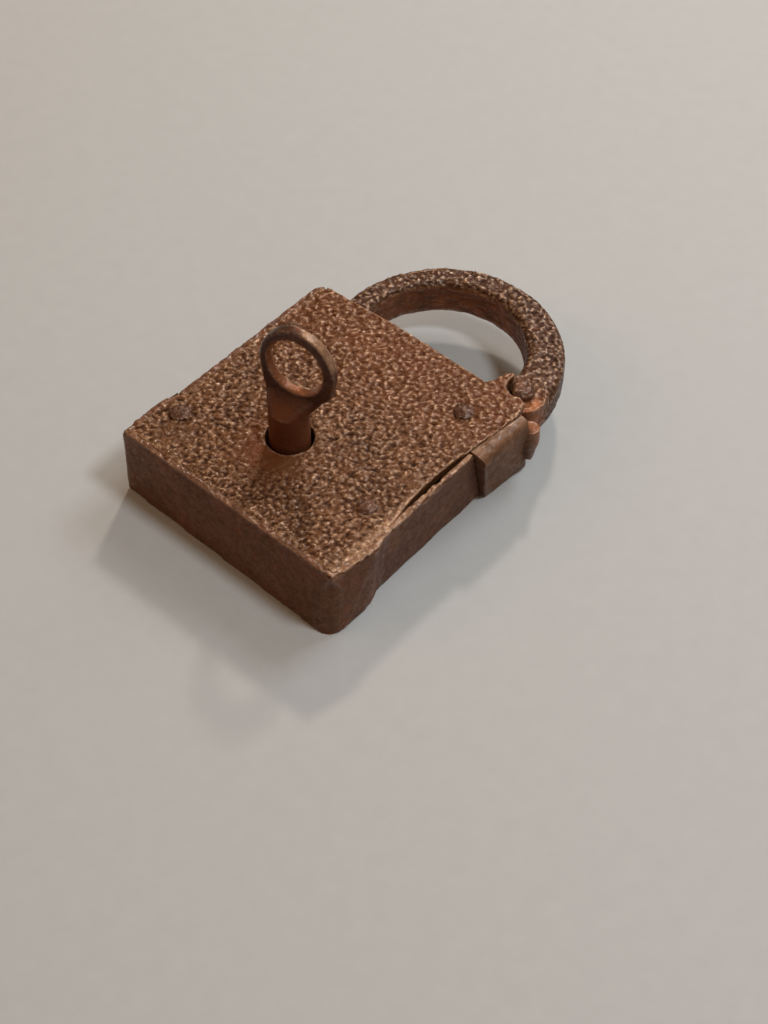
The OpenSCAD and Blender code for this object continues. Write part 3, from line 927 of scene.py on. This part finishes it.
def key_rust(p):
    """Fresh rust inside the bow's eye, and browner iron down the stem."""
    along, z = on_bow(p)
    rim = ramp(in_oval(along, z, EYE_AT, EYE_SIZE), *EYE_RIM)
    return np.maximum(EYE_RUST * rim * ramp(z, *EYE_RUST_Z), STEM_RUST * ramp(z, *STEM_RUST_Z))


def key_painted_highlights(p):
    """Painted light on the bow's rims: inside the eye below, and a painted highlight outside at its
    upper right.
    """
    along, z = on_bow(p)
    high = z - BOW_AT[1]
    rim = ramp(in_oval(along, z, EYE_AT, EYE_SIZE), *EYE_RIM)
    left = ramp(along + high, *LOWER_LEFT) * ramp(high, *LOWER_LEFT_HIGH)
    below = rim * np.maximum(left, BOTTOM_SHARE * ramp(high, *BOTTOM_HIGH))
    outer = ramp(in_oval(along, z, BOW_AT, BOW_SIZE), *BOW_RIM)
    above = outer * ramp(along, *BOW_HIGHLIGHT_ALONG) * ramp(high, *BOW_HIGHLIGHT_HIGH)
    return np.clip((EYE_PAINTED_LIGHT * below + BOW_PAINTED_HIGHLIGHT * above) * uneven(p, *KEY_HIGHLIGHT_NOISE), 0, 1)


# ---------------------------------------------------------------- camera, light and floor
# The camera's place in metres, and which way its picture's right, its up and its back point
CAMERA_AT = (0.3005, -0.3194, 0.5021)
CAMERA_RIGHT = (0.74906, 0.66246, 0.00658)
CAMERA_UP = (-0.50843, 0.56846, 0.64680)
CAMERA_BACK = (0.42474, -0.48785, 0.76263)
LENS = 80.09
SENSOR = 36
CLIP_START = 0.01
# Each light's place and width in metres, its power in watts and its colour
LIGHTS = {
    "window": ((0.12, 0.78, 0.85), 0.5, 5.2, (0.86, 0.95, 1.0)),
    "side_window": ((0.50, 0.14, 1.0), 0.22, 6.2, (0.88, 0.96, 1.0)),
    "glint": ((-0.38, 0.70, 0.72), 0.10, 4.2, (1.0, 0.88, 0.75)),
    "fill": ((-0.7, -0.8, 0.9), 0.9, 2.8, (1.0, 0.62, 0.34)),
}
AIM = Vector((0, 0.01, 0.01))
ROOM_COLOUR = (1.0, 0.70, 0.45, 1)
ROOM_STRENGTH = 0.26
FLOOR_HALF = 3.0
FLOOR_CELLS = 8
FLOOR_Z = -0.0002
FLOOR_DARK = srgb(166, 165, 164)
FLOOR_LIGHT = srgb(174, 173, 172)
FLOOR_TONE = Texture(6, 4, 0.55)
FLOOR_GRAIN = Texture(2.0, 3, 0.55)
FLOOR_BUMP = (0.05, 0.2)
FLOOR_ROUGH = 0.9


def place_camera():
    data = bpy.data.cameras.new("camera")
    data.lens = LENS
    data.sensor_width = SENSOR
    data.clip_start = CLIP_START
    camera = bpy.data.objects.new("camera", data)
    turn = Matrix((CAMERA_RIGHT, CAMERA_UP, CAMERA_BACK)).transposed().to_4x4()
    camera.matrix_world = Matrix.Translation(CAMERA_AT) @ turn
    bpy.context.scene.collection.objects.link(camera)
    bpy.context.scene.camera = camera


def soft_light(name, place, size, power, colour):
    data = bpy.data.lights.new(name, "AREA")
    data.shape = "DISK"
    data.size = size
    data.energy = power
    data.color = colour
    light = bpy.data.objects.new(name, data)
    light.location = place
    light.rotation_euler = (AIM - Vector(place)).to_track_quat("-Z", "Y").to_euler()
    bpy.context.scene.collection.objects.link(light)


def light_scene():
    for name, values in LIGHTS.items():
        soft_light(name, *values)
    world = bpy.data.worlds.new("room")
    world.use_nodes = True
    ground = world.node_tree.nodes["Background"]
    ground.inputs["Color"].default_value = ROOM_COLOUR
    ground.inputs["Strength"].default_value = ROOM_STRENGTH
    bpy.context.scene.world = world
    bpy.context.scene.view_settings.view_transform = "Standard"


def floor_material():
    t = Nodes("pale_floor")
    tone = t.mix(t.noise(FLOOR_TONE), FLOOR_DARK, FLOOR_LIGHT)
    return t.finish(tone, FLOOR_ROUGH, 0.0, t.bump(t.noise(FLOOR_GRAIN), *FLOOR_BUMP))


def lay_floor():
    mesh = bpy.data.meshes.new("floor")
    made = bmesh.new()
    bmesh.ops.create_grid(made, x_segments=FLOOR_CELLS, y_segments=FLOOR_CELLS, size=FLOOR_HALF)
    made.to_mesh(mesh)
    made.free()
    floor = bpy.data.objects.new("floor", mesh)
    floor.location = (0, 0, FLOOR_Z)
    bpy.context.scene.collection.objects.link(floor)
    floor.data.materials.append(floor_material())


# ---------------------------------------------------------------- build
STEEL_NODES = ("bolt_spring", "spring_pin")


def build_case():
    # The front plate's rust mask also paints the key's shadow
    forge("front_plate", "plate_front", "case", "plate_iron", pitted_top,
          bend=spread_plate, rust=plate_rust_and_key_shadow, pale=plate_pale)
    forge("back_plate", "plate_back", "case", "plate_iron", hammered(*BACK_MARKS), pitch=COARSE)
    forge("bottom_strap", "strap", "case", "rim_iron", ragged_edge, bend=rounded_strap, pale=edge_pale)
    forge("left_wall", "wall_left", "case", "rim_iron", ragged_edge)
    forge("right_wall", "wall_right", "case", "rim_iron", ragged_edge, bend=tucked_wall, pale=edge_pale)
    forge("top_wall", "wall_top", "case", "rim_iron", hammered(*TOP_MARKS))
    forge("cheek_block", "cheek", "case", "cheek_iron", cheek_relief,
          bend=rounded_cheek, rust=cheek_rust, pale=cheek_pale, soften=3)
    forge("case_rivets", "rivets", "case", "rivet_iron", head_relief, pitch=FINEST, soften=3)
    forge("pivot_rivet", "pivot", "case", "rivet_iron", head_relief, pitch=FINEST, soften=3)


def build_moving():
    forge("shackle", "hoop", "shackle", "shackle_iron", shackle_relief,
          bend=worn_hoop, rust=shackle_rust, soften=2)
    # The key's pale mask paints light and highlights on its bow
    forge("key", "key_forged", "key", "key_iron", key_relief,
          rust=key_rust, pale=key_painted_highlights, pitch=FINEST, soften=4)


def paint_works():
    """The pieces inside the case keep their CAD shapes, in an iron or steel of their own."""
    for node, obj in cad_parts.items():
        slot = "spring_steel" if node in STEEL_NODES else "work_iron"
        obj.data.materials.clear()
        obj.data.materials.append(MATERIALS[slot])


place_camera()
light_scene()
lay_floor()
build_case()
build_moving()
paint_works()
